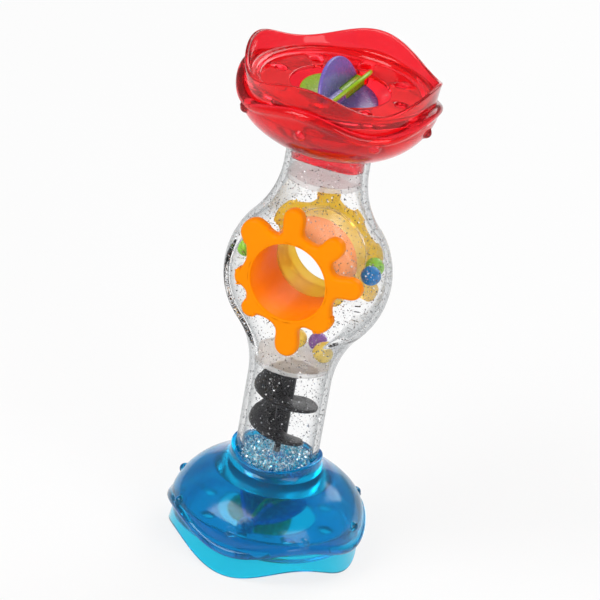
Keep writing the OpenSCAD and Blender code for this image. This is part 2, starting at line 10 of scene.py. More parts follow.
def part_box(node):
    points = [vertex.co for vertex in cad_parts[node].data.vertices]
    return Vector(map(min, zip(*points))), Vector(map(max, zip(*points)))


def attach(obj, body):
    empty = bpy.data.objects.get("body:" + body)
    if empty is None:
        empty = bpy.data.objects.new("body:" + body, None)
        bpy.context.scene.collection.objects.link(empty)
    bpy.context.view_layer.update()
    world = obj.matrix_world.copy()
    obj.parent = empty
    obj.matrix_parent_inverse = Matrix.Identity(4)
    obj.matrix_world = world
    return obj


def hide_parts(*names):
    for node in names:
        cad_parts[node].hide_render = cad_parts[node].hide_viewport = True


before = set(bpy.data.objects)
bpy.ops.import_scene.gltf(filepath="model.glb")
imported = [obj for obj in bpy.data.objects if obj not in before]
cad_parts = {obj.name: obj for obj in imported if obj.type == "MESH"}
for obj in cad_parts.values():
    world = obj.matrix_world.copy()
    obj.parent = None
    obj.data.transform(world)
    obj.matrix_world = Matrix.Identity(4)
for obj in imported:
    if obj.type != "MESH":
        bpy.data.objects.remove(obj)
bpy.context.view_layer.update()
scene = bpy.context.scene
mm = 0.001
creaseAngle = 38  # degrees; an edge that turns more stays sharp


# ways of making meshes, all in millimetres until they become objects

def makeObject(name, points, faces, material):
    mesh = bpy.data.meshes.new(name)
    mesh.from_pydata([tuple(p) for p in np.asarray(points, float) * mm], [], faces)
    obj = bpy.data.objects.new(name, mesh)
    scene.collection.objects.link(obj)
    work = bmesh.new()
    work.from_mesh(mesh)
    bmesh.ops.recalc_face_normals(work, faces=work.faces)
    work.to_mesh(mesh)
    work.free()
    smoothOver(mesh)
    mesh.materials.append(material)
    return obj


def smoothOver(mesh, angle=creaseAngle):
    mesh.shade_smooth()
    mesh.set_sharp_from_angle(angle=math.radians(angle))


def turnSteps(steps):
    return np.arange(steps) * math.tau / steps


def turnedZ(path, steps):
    # rings of a profile, radii and heights, turned about the Z axis
    t = turnSteps(steps)
    return [np.column_stack([r * np.cos(t), r * np.sin(t), np.full(steps, z)]) for r, z in path]


def turnedY(path, steps, lift=0):
    # the same about an axis along Y at a height
    t = turnSteps(steps)
    return [np.column_stack([r * np.cos(t), np.full(steps, y), lift + r * np.sin(t)]) for r, y in path]


def loopFaces(rows, around, start=0, closed=False):
    faces = []
    for i in range(rows if closed else rows - 1):
        a, b = start + i * around, start + (i + 1) % rows * around
        for j in range(around):
            k = (j + 1) % around
            faces.append((a + j, a + k, b + k, b + j))
    return faces


def loopSkin(name, rings, material, closed=False):
    # rings: rows of points that each go once round; open ends are shut by a fan to their middle
    rings = np.asarray(rings, float)
    rows, around = rings.shape[:2]
    points = list(rings.reshape(-1, 3))
    faces = loopFaces(rows, around, closed=closed)
    if not closed:
        points += [rings[0].mean(0), rings[-1].mean(0)]
        first, last = rows * around, (rows - 1) * around
        for j in range(around):
            k = (j + 1) % around
            faces += [(k, j, first), (last + j, last + k, first + 1)]
    return makeObject(name, points, faces, material)


def flatEnded(name, rings, material):
    # rings shut by one flat face at either end
    rows, around = rings.shape[:2]
    last = (rows - 1) * around
    faces = loopFaces(rows, around)
    faces += [tuple(range(around)), tuple(range(last + around - 1, last - 1, -1))]
    return makeObject(name, rings.reshape(-1, 3), faces, material)


def softPath(corners, steps):
    # a corner: a radius, a height, further values, and last the size of its rounding
    longest = 0.48  # share of a side that one rounding may take
    path = []
    for i, corner in enumerate(corners):
        here, size = np.array(corner[:-1], float), corner[-1]
        if size == 0 or i in (0, len(corners) - 1):
            path.append(here)
            continue
        before, after = (np.array(corners[i + d][:-1], float) for d in (-1, 1))
        lengths = [max(np.hypot(*(p - here)[:2]), 1e-6) for p in (before, after)]
        start = here + (before - here) * min(size / lengths[0], longest)
        end = here + (after - here) * min(size / lengths[1], longest)
        path += [bend(start, here, end, t) for t in np.linspace(0, 1, steps + 1)]
    return np.array(path)


def bend(start, middle, end, t):
    return (1 - t) ** 2 * start + 2 * t * (1 - t) * middle + t ** 2 * end


def inwardOf(outline):
    along = np.roll(outline, -1, 0) - np.roll(outline, 1, 0)
    along /= np.linalg.norm(along, axis=1)[:, None]
    return np.stack([-along[:, 1], along[:, 0]], 1)


def roundedSlab(outline, thickness, edge, steps):
    # flat outline to stacked loops with rounded edges, lying about height 0
    outline = np.asarray(outline, float)
    inward = inwardOf(outline)
    rings = []
    for a in np.radians(np.linspace(-90, 90, 2 * steps + 1)):
        flat = outline + inward * edge * (1 - math.cos(a))
        height = (thickness / 2 - edge) * np.sign(round(math.sin(a), 6)) + edge * math.sin(a)
        rings.append(np.column_stack([flat, np.full(len(flat), height)]))
    return np.array(rings)


def flaredEnd(radius, end, flare, angles):
    # a hole's wall from its flared mouth inwards
    return [(radius + flare * (1 - math.cos(a)), end - flare * (1 - math.sin(a))) for a in np.radians(angles)]


def joinInto(first, *others):
    work = bmesh.new()
    for obj in (first, *others):
        work.from_mesh(obj.data)
    work.to_mesh(first.data)
    work.free()
    dropSpares(*others)
    return first


def dropSpares(*spares):
    for obj in spares:
        bpy.data.objects.remove(obj)


def settle(obj):
    # what the modifiers show becomes the object's own plain mesh
    graph = bpy.context.evaluated_depsgraph_get()
    made = bpy.data.meshes.new_from_object(obj.evaluated_get(graph), depsgraph=graph)
    obj.modifiers.clear()
    obj.data = made
    return obj


def cutAway(obj, cutter):
    cut = obj.modifiers.new("cut", "BOOLEAN")
    cut.operation, cut.solver, cut.object = "DIFFERENCE", "EXACT", cutter
    settle(obj)
    dropSpares(cutter)
    smoothOver(obj.data)
    return obj


def smoothCopy(name, node, material):
    # a CAD solid with its facets smoothed over and its edges softened
    size = {"merge": 1e-6, "flat": 0.5, "crease": 30, "bevel": 0.25, "bevelFrom": 40, "bevelSteps": 2}
    obj = bpy.data.objects.new(name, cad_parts[node].data.copy())
    scene.collection.objects.link(obj)
    work = bmesh.new()
    work.from_mesh(obj.data)
    bmesh.ops.remove_doubles(work, verts=work.verts, dist=size["merge"])
    bmesh.ops.dissolve_limit(work, angle_limit=math.radians(size["flat"]), verts=work.verts, edges=work.edges)
    work.to_mesh(obj.data)
    work.free()
    obj.data.materials.clear()
    obj.data.materials.append(material)
    smoothOver(obj.data, size["crease"])
    soft = obj.modifiers.new("edges", "BEVEL")
    soft.width, soft.segments = size["bevel"] * mm, size["bevelSteps"]
    soft.limit_method, soft.angle_limit = "ANGLE", math.radians(size["bevelFrom"])
    settle(obj)
    smoothOver(obj.data, size["crease"])
    return obj


def seat(obj, body, slot, *nodes):
    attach(obj, body)
    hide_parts(*nodes)


# Geometry Nodes trees

def newTree(name, sockets):
    tree = bpy.data.node_groups.new(name, "GeometryNodeTree")
    tree.interface.new_socket("Geometry", in_out="INPUT", socket_type="NodeSocketGeometry")
    for label, kind in sockets:
        tree.interface.new_socket(label, in_out="INPUT", socket_type="NodeSocket" + kind)
    tree.interface.new_socket("Geometry", in_out="OUTPUT", socket_type="NodeSocketGeometry")
    return tree, tree.nodes.new("NodeGroupInput"), tree.nodes.new("NodeGroupOutput")


def addNode(tree, kind, values=None, **settings):
    node = tree.nodes.new(kind)
    for key, value in settings.items():
        setattr(node, key, value)
    for key, value in (values or {}).items():
        if isinstance(value, bpy.types.NodeSocket):
            tree.links.new(value, node.inputs[key])
        else:
            node.inputs[key].default_value = value
    return node


def endTree(tree, given, geometry, out):
    real = addNode(tree, "GeometryNodeRealizeInstances", {"Geometry": geometry})
    paint = addNode(tree, "GeometryNodeSetMaterial",
                    {"Geometry": real.outputs["Geometry"], "Material": given.outputs["Material"]})
    tree.links.new(paint.outputs["Geometry"], out.inputs["Geometry"])
    return tree


def ringTree():
    # copies of a source turned about an axis through the origin
    tree, given, out = newTree("ringOfCopies", [("Source", "Object"), ("Copies", "Int"), ("Axis", "Vector"),
                                                ("Start", "Float"), ("Material", "Material")])
    points = addNode(tree, "GeometryNodePoints", {"Count": given.outputs["Copies"]})
    index = addNode(tree, "GeometryNodeInputIndex")
    step = addNode(tree, "ShaderNodeMath", {0: math.tau, 1: given.outputs["Copies"]}, operation="DIVIDE")
    angle = addNode(tree, "ShaderNodeMath", {0: index.outputs[0], 1: step.outputs[0],
                                             2: given.outputs["Start"]}, operation="MULTIPLY_ADD")
    turn = addNode(tree, "ShaderNodeVectorMath", {0: given.outputs["Axis"], "Scale": angle.outputs[0]},
                   operation="SCALE")
    source = addNode(tree, "GeometryNodeObjectInfo", {"Object": given.outputs["Source"]})
    copies = addNode(tree, "GeometryNodeInstanceOnPoints",
                     {"Points": points.outputs[0], "Instance": source.outputs["Geometry"],
                      "Rotation": turn.outputs[0]})
    return endTree(tree, given, copies.outputs[0], out)


def scatterTree():
    # flakes strewn over a surface, each turned and sized at random
    tree, given, out = newTree("strewnFlakes", [("Surface", "Object"), ("Flake", "Object"), ("Density", "Float"),
                                                ("Smallest", "Float"), ("Largest", "Float"), ("Seed", "Int"),
                                                ("Material", "Material")])
    surface = addNode(tree, "GeometryNodeObjectInfo", {"Object": given.outputs["Surface"]})
    points = addNode(tree, "GeometryNodeDistributePointsOnFaces",
                     {"Mesh": surface.outputs["Geometry"], "Density": given.outputs["Density"],
                      "Seed": given.outputs["Seed"]})
    turn = addNode(tree, "FunctionNodeRandomValue", {"Min": (0, 0, 0), "Max": (math.tau,) * 3,
                                                     "Seed": given.outputs["Seed"]}, data_type="FLOAT_VECTOR")
    size = addNode(tree, "FunctionNodeRandomValue", data_type="FLOAT")
    # the number's own sockets: least, greatest and seed
    for key, label in ((2, "Smallest"), (3, "Largest"), (8, "Seed")):
        tree.links.new(given.outputs[label], size.inputs[key])
    flake = addNode(tree, "GeometryNodeObjectInfo", {"Object": given.outputs["Flake"]})
    copies = addNode(tree, "GeometryNodeInstanceOnPoints",
                     {"Points": points.outputs["Points"], "Instance": flake.outputs["Geometry"],
                      "Rotation": turn.outputs[0], "Scale": size.outputs[1]})
    return endTree(tree, given, copies.outputs[0], out)


def runTree(name, tree, values):
    obj = bpy.data.objects.new(name, bpy.data.meshes.new(name))
    scene.collection.objects.link(obj)
    grow = obj.modifiers.new("nodes", "NODES")
    grow.node_group = tree
    for item in tree.interface.items_tree:
        if item.in_out == "INPUT" and item.name in values:
            grow[item.identifier] = values[item.name]
    return settle(obj)


ringOfCopies = ringTree()
strewnFlakes = scatterTree()


def ringOf(name, one, copies, axis, start, material):
    made = runTree(name, ringOfCopies, {"Source": one, "Copies": copies, "Axis": axis, "Start": start,
                                        "Material": material})
    dropSpares(one)
    return made


# finishes

# the edge blend and facing settings place the grey edge tint of clear plastic, partly absorption and partly
# painted shade
plainLook = {"flowSize": 14, "flowDetail": 3, "wearSize": 3, "wearDetail": 6, "wear": (0.35, 0.7), "skin": 0.12,
             "skinSize": 2.5, "skinDetail": 2, "skinDepth": 0.2, "edgeShadeBlend": 0.5, "edgeShadeFacing": (0.36, 0.8),
             "sockets": {}}


def newMaterial(name):
    mat = bpy.data.materials.new(name)
    mat.use_nodes = True
    tree = mat.node_tree
    return mat, tree, tree.nodes["Principled BSDF"], addNode(tree, "ShaderNodeTexCoord")


def noiseOn(tree, place, size, detail):
    return addNode(tree, "ShaderNodeTexNoise",
                   {"Vector": place.outputs["Object"], "Scale": 1 / (size * mm), "Detail": detail})


def spread(tree, value, given, wanted=(0.0, 1.0)):
    return addNode(tree, "ShaderNodeMapRange", {"Value": value, "From Min": given[0], "From Max": given[1],
                                                "To Min": wanted[0], "To Max": wanted[1]})


def mouldedPlastic(name, own):
    # flow marks in the colour, uneven gloss and a faint waviness of the skin
    look = {**plainLook, **own}
    mat, tree, shader, place = newMaterial(name)
    flow = noiseOn(tree, place, look["flowSize"], look["flowDetail"])
    # a Mix takes colours at sockets 6 and 7 and gives one at 2
    tint = addNode(tree, "ShaderNodeMix", {0: flow.outputs["Fac"], 6: (*look["colour"], 1), 7: (*look["flow"], 1)},
                   data_type="RGBA")
    if "edge" in look:
        # clear plastic takes in light along its edges, where the way through the wall is long; the grey tint there
        # is also painted shade, standing in for the dark surroundings that the edges show
        facing = addNode(tree, "ShaderNodeLayerWeight", {"Blend": look["edgeShadeBlend"]})
        depth = spread(tree, facing.outputs["Facing"], look["edgeShadeFacing"])
        tint = addNode(tree, "ShaderNodeMix", {0: depth.outputs[0], 6: tint.outputs[2], 7: (*look["edge"], 1)},
                       data_type="RGBA")
    tree.links.new(tint.outputs[2], shader.inputs["Base Color"])
    wear = noiseOn(tree, place, look["wearSize"], look["wearDetail"])
    gloss = spread(tree, wear.outputs["Fac"], look["wear"], look["gloss"])
    tree.links.new(gloss.outputs[0], shader.inputs["Roughness"])
    skin = noiseOn(tree, place, look["skinSize"], look["skinDetail"])
    bump = addNode(tree, "ShaderNodeBump", {"Height": skin.outputs["Fac"], "Strength": look["skin"],
                                            "Distance": look["skinDepth"] * mm})
    tree.links.new(bump.outputs[0], shader.inputs["Normal"])
    for socket, value in look["sockets"].items():
        shader.inputs[socket].default_value = value
    return mat


def tintedPlastic(name, colour, flow, gloss, through, ior=1.38, skin=0.06):
    return mouldedPlastic(name, {"colour": colour, "flow": flow, "gloss": gloss, "skin": skin,
                                 "sockets": {"Transmission Weight": through, "IOR": ior}})


def glitterFoil(name, metal, tints):
    # each flake takes its own tint and gloss from where it lies
    look = {"cell": 0.9, "gloss": (0.12, 0.4)}
    mat, tree, shader, place = newMaterial(name)
    cells = addNode(tree, "ShaderNodeTexVoronoi",
                    {"Vector": place.outputs["Object"], "Scale": 1 / (look["cell"] * mm)})
    pick = addNode(tree, "ShaderNodeSeparateColor", {"Color": cells.outputs["Color"]})
    ramp = addNode(tree, "ShaderNodeValToRGB", {"Fac": pick.outputs[0]})
    ramp.color_ramp.interpolation = "CONSTANT"
    while len(ramp.color_ramp.elements) < len(tints):
        ramp.color_ramp.elements.new(0.5)
    for i, (element, tint) in enumerate(zip(ramp.color_ramp.elements, tints)):
        element.position = i / len(tints)
        element.color = (*tint, 1)
    tree.links.new(ramp.outputs[0], shader.inputs["Base Color"])
    rough = spread(tree, pick.outputs[1], (0.0, 1.0), look["gloss"])
    tree.links.new(rough.outputs[0], shader.inputs["Roughness"])
    shader.inputs["Metallic"].default_value = metal
    return mat


finishes = {
    "red": tintedPlastic("redTranslucent", (0.97, 0.034, 0.055), (0.94, 0.024, 0.044), (0.07, 0.14), 0.9),
    "blue": tintedPlastic("blueTranslucent", (0.0, 0.45, 0.76), (0.0, 0.39, 0.71), (0.1, 0.18), 0.92),
    "blueThin": tintedPlastic("blueThinTranslucent", (0.0, 0.64, 0.86), (0.0, 0.58, 0.82), (0.03, 0.1), 0.9),
    "redThin": tintedPlastic("redThinTranslucent", (0.98, 0.036, 0.055), (0.95, 0.026, 0.04), (0.03, 0.1), 0.9),
    "clear": mouldedPlastic("clearGlitterPlastic", {
        "colour": (0.992, 0.994, 0.994), "flow": (0.997, 0.998, 0.998), "gloss": (0.0, 0.04), "skin": 0.03,
        # edge: grey tint at grazing angles, partly absorption and partly painted shade of dark surroundings
        "edge": (0.26, 0.28, 0.29), "sockets": {"Transmission Weight": 1.0, "IOR": 1.22}}),
    "clearInside": mouldedPlastic("clearPlastic", {
        "colour": (0.90, 0.91, 0.92), "flow": (0.94, 0.95, 0.95), "gloss": (0.05, 0.12), "skin": 0.03,
        "sockets": {"Alpha": 0.08, "IOR": 1.49}}),
    "clearDisc": mouldedPlastic("clearDiscPlastic", {
        "colour": (0.97, 0.96, 0.95), "flow": (0.93, 0.92, 0.91), "gloss": (0.05, 0.12), "skin": 0.05,
        # edge: grey tint at grazing angles, partly absorption and partly painted shade of dark surroundings
        "edge": (0.5, 0.49, 0.48), "sockets": {"Alpha": 0.45, "IOR": 1.49}}),
    "orange": mouldedPlastic("orangePlastic", {
        "colour": (0.98, 0.285, 0.0), "flow": (0.95, 0.25, 0.0), "gloss": (0.34, 0.46),
        "sockets": {"Specular IOR Level": 0.06}}),
    "yellow": mouldedPlastic("yellowPlastic", {
        "colour": (1.0, 0.68, 0.06), "flow": (0.98, 0.63, 0.05), "gloss": (0.36, 0.48),
        "sockets": {"Specular IOR Level": 0.06, "Transmission Weight": 0.75, "IOR": 1.2}}),
    "green": tintedPlastic("greenPlastic", (0.36, 0.62, 0.007), (0.33, 0.58, 0.006), (0.2, 0.32), 0.25,
                           ior=1.46, skin=0.12),
    "purple": tintedPlastic("purplePlastic", (0.23, 0.17, 0.64), (0.21, 0.155, 0.60), (0.2, 0.32), 0.25,
                            ior=1.46, skin=0.12),
    "black": mouldedPlastic("blackPlastic", {
        "colour": (0.010, 0.010, 0.012), "flow": (0.016, 0.016, 0.019), "gloss": (0.26, 0.38),
        "sockets": {"Specular IOR Level": 0.15}}),
    "steel": mouldedPlastic("axleSteel", {
        "colour": (0.55, 0.56, 0.58), "flow": (0.48, 0.49, 0.51), "gloss": (0.22, 0.36), "flowSize": 2,
        "sockets": {"Metallic": 1.0}}),
}
ballTints = {"red": (0.80, 0.02, 0.06), "pink": (0.88, 0.06, 0.20), "green": (0.26, 0.58, 0.03),
             "blue": (0.0, 0.19, 0.52), "yellow": (1.0, 0.74, 0.13), "purple": (0.32, 0.15, 0.55)}
ballFlow = 0.9  # the flow marks' share of the ball's tint
for tone, tint in ballTints.items():
    finishes["ball" + tone.title()] = mouldedPlastic("ball" + tone.title(), {
        "colour": tint, "flow": tuple(ballFlow * v for v in tint), "gloss": (0.2, 0.32), "flowSize": 4,
        "skinSize": 1.5, "sockets": {"Specular IOR Level": 0.25}})
finishes["flecks"] = glitterFoil("glitterFlecks", 0.85, [
    (0.10, 0.10, 0.11), (0.75, 0.76, 0.78), (0.30, 0.31, 0.33), (0.9, 0.9, 0.92)])
finishes["heap"] = glitterFoil("glitterHeap", 0.5, [
    (0.85, 0.92, 0.95), (0.04, 0.58, 0.78), (0.95, 0.97, 0.98), (0.18, 0.70, 0.84)])
print("finishes:", len(finishes))


# bowls: dome, bead and skirt share one wave of four crests

bowl = {"beadR": 50.0, "beadRound": 2.6, "beadFrom": -48, "beadSteps": 13, "beadWave": 3.5, "crests": 4,
        "domeR": 48.6, "domeH": 29.5, "domeEnd": 3.2, "domeSteps": 64, "wall": 2.2, "insideSteps": 28,
        "seatDrop": 5.0, "lipR": 46.3, "footR": 24.05, "midR": 2.0, "wellRise": -21.2, "socketRise": -23.8,
        "bumps": 8, "bumpR": 2.8, "bumpDrop": 6.7, "bumpStand": 2.1, "bumpFullness": 0.7,
        "bumpsFrom": 0.86, "bumpsUnder": -1.0, "socketRound": 0.8, "stemInRound": 0.5, "stemOutRound": 0.7,
        "footRound": 0.6, "lipRound": 0.4, "wellRound": 1.5, "cornerSteps": 4, "steps": 576,
        "redBead": 245.0, "blueBead": 17.4}
stems = {"red": {"outer": 17.95, "inner": 15.75, "lap": 10.5, "from": "foot", "dip": 4.0, "dipOver": 1.0,
                 "shoulderRound": 0.4},
         "blue": {"outer": 22.95, "inner": 20.75, "lap": 11.5, "from": "socket", "dip": 4.0, "dipOver": 1.0,
                  "flowRise": 6.9, "flowR": 35.0, "flowSteps": 14}}


def bowlPlace(points, tone):
    # from the bowl's own frame, mouth up and bead at height 0, to its place on the toy
    points = np.array(points, float)
    if tone == "blue":
        points[..., 2] *= -1
    points[..., 2] += bowl[tone + "Bead"]
    return points


def putInBowl(obj, tone, rise=0):
    # the blue bowl is turned over, so a finished mesh has its faces turned back
    points = np.array([v.co for v in obj.data.vertices]) / mm + [0, 0, rise]
    obj.data.vertices.foreach_set("co", (bowlPlace(points, tone) * mm).ravel())
    if tone == "blue":
        obj.data.flip_normals()
    obj.data.update()


def collarFlow(stem, footAngle, footRise, endZ):
    # the collar's wall flows out into the dome in one hollow curve
    domeStart = math.acos(stem["flowR"] / bowl["domeR"])
    end = np.array([stem["flowR"], -bowl["domeH"] * math.sin(domeStart)])
    slope = bowl["domeH"] / bowl["domeR"] / math.tan(domeStart)
    middle = np.array([stem["outer"], end[1] - slope * (end[0] - stem["outer"])])
    start = np.array([stem["outer"], footRise - stem["flowRise"]])
    lift = bowl["beadWave"] * (1 - math.sin(domeStart) / math.sin(footAngle)) ** 2
    corners = []
    for t in np.linspace(0, 1, stem["flowSteps"] + 1)[:-1]:
        r, z = bend(start, middle, end, t)
        corners.append((r, z, lift * t ** 2, max(0, (footRise - z) / (footRise - endZ)), 0))
    return corners, domeStart


def bowlPath(stem):
    # corners: radius, height, wave, share of the stem's dip, rounding
    b = bowl
    footAngle = math.acos(b["footR"] / b["domeR"])
    footRise = -b["domeH"] * math.sin(footAngle)
    endZ = (footRise if stem["from"] == "foot" else b["socketRise"]) - stem["lap"]
    beadMid = b["beadR"] - b["beadRound"]
    inR, inH = b["domeR"] - b["wall"], b["domeH"] - b["wall"]
    corners = [(b["midR"], b["socketRise"], 0, 0, 0),
               (stem["inner"], b["socketRise"], 0, 0, b["socketRound"]),
               (stem["inner"], endZ, 0, 1, b["stemInRound"]), (stem["outer"], endZ, 0, 1, b["stemOutRound"])]
    if "flowR" in stem:
        flow, domeStart = collarFlow(stem, footAngle, footRise, endZ)
    else:
        flow, domeStart = [(stem["outer"], footRise, 0, 0, stem["shoulderRound"])], footAngle
    corners += flow
    for a in np.linspace(domeStart, math.asin(b["domeEnd"] / b["domeH"]), b["domeSteps"]):
        share = (1 - math.sin(a) / math.sin(footAngle)) ** 2
        corners.append((b["domeR"] * math.cos(a), -b["domeH"] * math.sin(a), b["beadWave"] * share, 0,
                        b["footRound"] if a == footAngle else 0))
    for a in np.radians(np.linspace(b["beadFrom"], 90, b["beadSteps"])):
        corners.append((beadMid + b["beadRound"] * math.cos(a), b["beadRound"] * math.sin(a), b["beadWave"], 0, 0))
    corners += [(b["lipR"], b["beadRound"], b["beadWave"], 0, b["lipRound"]),
                (b["lipR"], -b["seatDrop"], 0, 0, b["lipRound"])]
    wellAngle = math.asin(-b["wellRise"] / inH)
    for a in np.linspace(math.asin(b["seatDrop"] / inH), wellAngle, b["insideSteps"]):
        corners.append((inR * math.cos(a), -inH * math.sin(a), 0, 0, b["wellRound"] if a == wellAngle else 0))
    corners.append((b["midR"], b["wellRise"], 0, 0, 0))
    return softPath(corners, b["cornerSteps"])


def raiseBumps(rings):
    # round studs swell out of the dome's outer skin
    b = bowl
    tilt = math.asin(b["bumpDrop"] / b["domeH"])
    out = np.array([math.cos(tilt) / b["domeR"], -math.sin(tilt) / b["domeH"]])
    out /= np.linalg.norm(out)
    radius, height, midWall = np.hypot(rings[..., 0], rings[..., 1]), rings[..., 2], b["wall"] / 2
    onDome = (radius > b["domeR"] * b["bumpsFrom"]) & (height < b["bumpsUnder"])
    onDome &= np.hypot(radius / (b["domeR"] - midWall), height / (b["domeH"] - midWall)) > 1
    for a in turnSteps(b["bumps"]):
        way = np.array([math.cos(a), math.sin(a)])
        middle = np.array([*(way * b["domeR"] * math.cos(tilt)), -b["bumpDrop"]])
        normal = np.array([*(way * out[0]), out[1]])
        off = rings - middle
        depth = off @ normal
        d = np.linalg.norm(off - depth[..., None] * normal, axis=-1) / b["bumpR"]
        swell = b["bumpStand"] * np.maximum(1 - d ** 2, 0) ** b["bumpFullness"]
        rings += np.where(onDome, swell, 0)[..., None] * normal
    return rings


def makeBowl(tone):
    stem, psi = stems[tone], turnSteps(bowl["steps"])
    # the stem's end arches up at the front and back
    reach = stem["outer"] + stem["dipOver"]
    saddleR = (reach ** 2 + stem["dip"] ** 2) / (2 * stem["dip"])
    dip = stem["dip"] - saddleR + np.sqrt(saddleR ** 2 - (reach * np.cos(psi)) ** 2)
    crests = np.cos(bowl["crests"] * psi)
    rings = np.array([np.column_stack([r * np.cos(psi), r * np.sin(psi), z + wave * crests + share * dip])
                      for r, z, wave, share in bowlPath(stem)])
    return loopSkin(tone + "Bowl", bowlPlace(raiseBumps(rings), tone), finishes[tone])


strainer = {"trayR": 46.2, "trayIn": 44.2, "skirtR": 47.7, "skirtH": 13.4, "skirtWall": 2.0, "rimWave": 4.0,
            "midWave": 3.75, "floorRise": 3.6, "floorT": 2.0, "floorR": 39.2, "ledge": 2.0, "openingR": 24.5,
            "stepOut": 0.33, "stepIn": 0.67, "drains": 8, "drainR": 3.1, "drainRing": 31.4, "drainSteps": 40,
            "flare": 0.5, "flareAngles": (80, 60, 40, 20, 0), "cutWider": 1.2, "cutHigher": 0.25, "steps": 288,
            "seatRound": 0.4, "rootRound": 1.2, "flankRound": 2.5, "rimRound": 0.95, "hollowRound": 2.0,
            "stepRound": 0.8, "ledgeRound": 0.7, "slopeRound": 0.5, "floorRound": 0.9, "edgeRound": 0.6,
            "cornerSteps": 6, "axleRise": -1.9, "bearingY": 26.2, "bearingT": 2.8, "bearingW": 8.4,
            "bearingEdge": 0.35, "edgeSteps": 2, "bearingSteps": 20, "bearingSink": 0.02}


def drainCutter():
    # a spool whose flared ends round off the hole's edges
    s = strainer
    top, foot = s["floorRise"], s["floorRise"] - s["floorT"]
    wide, over = s["drainR"] + s["cutWider"], s["cutHigher"]
    upper = flaredEnd(s["drainR"], top, s["flare"], s["flareAngles"])
    lower = flaredEnd(s["drainR"], -foot, s["flare"], s["flareAngles"])
    path = [(wide, top + over), *upper, *[(r, -z) for r, z in lower[::-1]], (wide, foot - over)]
    rings = np.array(turnedZ(path, s["drainSteps"])) + [s["drainRing"], 0, 0]
    return loopSkin("drainCutter", rings, finishes["redThin"])


def bearingBlock(side, tone):
    # half-round block under the floor that holds the axle's end
    s = strainer
    half = s["bearingW"] / 2
    top = s["floorRise"] - s["floorT"] + s["bearingSink"] - s["axleRise"]
    foot = [(-half * math.cos(a), -half * math.sin(a)) for a in np.linspace(0, math.pi, s["bearingSteps"])]
    slab = roundedSlab([(-half, top), *foot, (half, top)], s["bearingT"], s["bearingEdge"], s["edgeSteps"])
    points = np.stack([slab[..., 0], slab[..., 2] + side * s["bearingY"], slab[..., 1] + s["axleRise"]], -1)
    return loopSkin("block", bowlPlace(points, tone), finishes[tone + "Thin"])


def makeStrainer(tone):
    # corners: radius, height, wave, rounding
    s, seatZ = strainer, -bowl["seatDrop"]
    inner, middle = s["skirtR"] - s["skirtWall"], (s["trayR"] + s["skirtR"]) / 2
    under, ledgeZ = s["floorRise"] - s["floorT"], s["floorRise"] + s["ledge"]
    corners = [(s["trayIn"], seatZ, 0, 0), (s["trayR"], seatZ, 0, s["seatRound"]),
               (s["trayR"], bowl["beadRound"] / 2, bowl["beadWave"], s["rootRound"]),
               (middle, s["skirtH"] / 2 + bowl["beadRound"], s["midWave"], s["flankRound"]),
               (s["skirtR"], s["skirtH"], s["rimWave"], s["rimRound"]),
               (inner, s["skirtH"], s["rimWave"], s["rimRound"]),
               (s["trayIn"] + s["stepOut"], ledgeZ + s["ledge"], s["rimWave"] / 3, s["hollowRound"]),
               (s["trayIn"] - s["stepIn"], ledgeZ, 0, s["stepRound"]),
               (s["floorR"] + s["ledge"], ledgeZ, 0, s["ledgeRound"]),
               (s["floorR"] + s["ledge"] / 2, ledgeZ - s["ledge"] / 4, 0, s["slopeRound"]),
               (s["floorR"], s["floorRise"], 0, s["floorRound"]),
               (s["openingR"], s["floorRise"], 0, s["edgeRound"]), (s["openingR"], under, 0, s["edgeRound"]),
               (s["trayIn"], under, 0, s["edgeRound"]), (s["trayIn"], seatZ / 2, 0, 0)]
    psi = turnSteps(s["steps"])
    crests = np.cos(bowl["crests"] * psi)
    rings = np.array([np.column_stack([r * np.cos(psi), r * np.sin(psi), z + wave * crests])
                      for r, z, wave in softPath(corners, s["cornerSteps"])])
    tray = loopSkin(tone + "Strainer", bowlPlace(rings, tone), finishes[tone + "Thin"], closed=True)
    holes = ringOf("drainHoles", drainCutter(), s["drains"], (0, 0, 1), 0.0, finishes[tone + "Thin"])
    putInBowl(holes, tone)
    cutAway(tray, holes)
    return joinInto(tray, *[bearingBlock(side, tone) for side in (-1, 1)])


for tone in ("red", "blue"):
    seat(makeBowl(tone), "toy_body", tone + "_plastic", tone + "_bowl")
    seat(makeStrainer(tone), "toy_body", tone + "_plastic", tone + "_strainer")
    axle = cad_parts[tone + "_axle"].data
    axle.materials.clear()
    axle.materials.append(finishes["steel"])
print("bowls and strainers made")


# paddle wheels: two mouldings that share one axle

wheel = {"petalR": 19.0, "petalW": 46.4, "petalT": 2.0, "edge": 0.85, "edgeSteps": 4, "arcSteps": 72,
         "rootSteps": 12, "hubR": 3.8, "bore": 2.08, "rootR": 2.7, "hubLen": 23.2, "hubGap": 0.05, "hubSteps": 64,
         "seamRound": 0.4, "endRound": 0.5, "boreRound": 0.3, "cornerSteps": 3, "petals": 3, "runFit": 0.08,
         # each moulding: finish, the end of the axle that it fills, and turn in degrees
         "mouldings": (("green", 1, -9), ("purple", -1, 51))}


def petalShape(side, tone):
    # half a petal's foot reaches the axle, the other half stands clear of the twin's hub
    w = wheel
    skip, half = w["hubR"] + w["runFit"], w["petalW"] / 2
    start = math.asin(skip / w["petalR"])
    wide = half * math.cos(start)
    arc = [(side * half * math.cos(a), w["petalR"] * math.sin(a))
           for a in np.linspace(start, math.pi - start, w["arcSteps"])]
    clear = [(-side * y, skip) for y in np.linspace(wide, 0, w["rootSteps"])[1:-1]]
    root = [(side * y, w["rootR"]) for y in np.linspace(0, wide, w["rootSteps"])]
    outline = arc + clear + [(0, skip)] + root
    slab = roundedSlab(outline if side > 0 else outline[::-1], w["petalT"], w["edge"], w["edgeSteps"])
    points = np.stack([-slab[..., 1], slab[..., 0], -slab[..., 2]], -1)
    return flatEnded("petal", points, finishes[tone])


